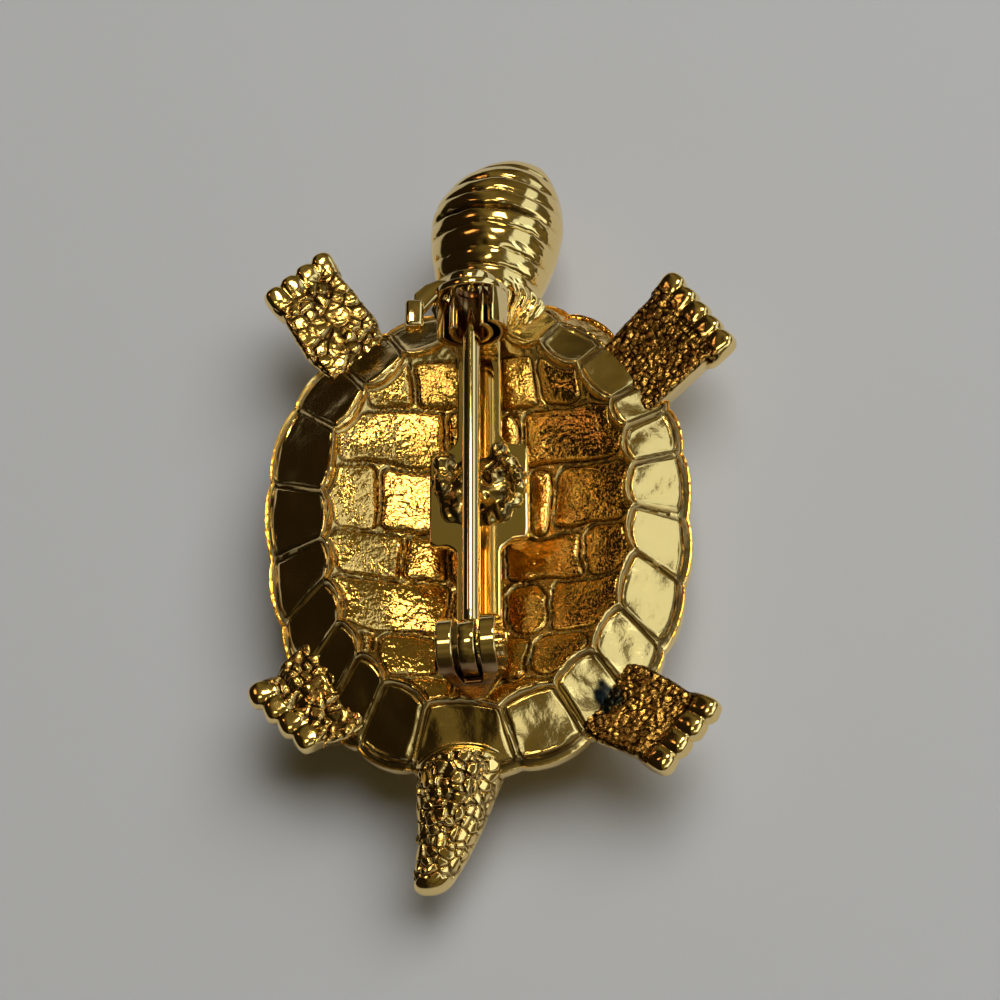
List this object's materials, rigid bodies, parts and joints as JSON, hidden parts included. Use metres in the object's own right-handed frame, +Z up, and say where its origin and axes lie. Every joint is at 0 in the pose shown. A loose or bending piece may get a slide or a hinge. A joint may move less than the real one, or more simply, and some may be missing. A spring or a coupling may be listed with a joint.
{
  "type": "turtle brooch with pin back",
  "caption": "Cast gold turtle brooch, shell side down, with a soldered bar pin back: hinged stem, rivet and a turning safety catch.",
  "frame": {"origin": "bottom centre of the bounding box: the brooch rests on the flat crown of its carapace", "axes": "+Z up out of the pin back, +Y to the turtle's head, +X to the right as seen from above"},
  "size_m": [0.0282, 0.0452, 0.0103],
  "materials": {
    "cast_gold": "gold plate, polished rims and sandy relief",
    "finding_gold": "bright gold plate"
  },
  "bodies": {
    "root": {"turtle_casting": "cast_gold", "joint_rivet": "finding_gold"},
    "stem": {"pin_stem": "finding_gold"},
    "roller": {"catch_roller": "finding_gold"}
  },
  "joints": [
    {"name": "stem_hinge", "type": "hinge", "parent": "root", "child": "stem", "pos_m": [-0.0005, -0.01086, 0.0086], "axis": [1, 0, 0], "range_deg": [0, 110]},
    {"name": "catch_turn", "type": "hinge", "parent": "root", "child": "roller", "pos_m": [-0.0005, 0.01014, 0.0086], "axis": [0, 1, 0], "range_deg": [0, 90]}
  ]
}
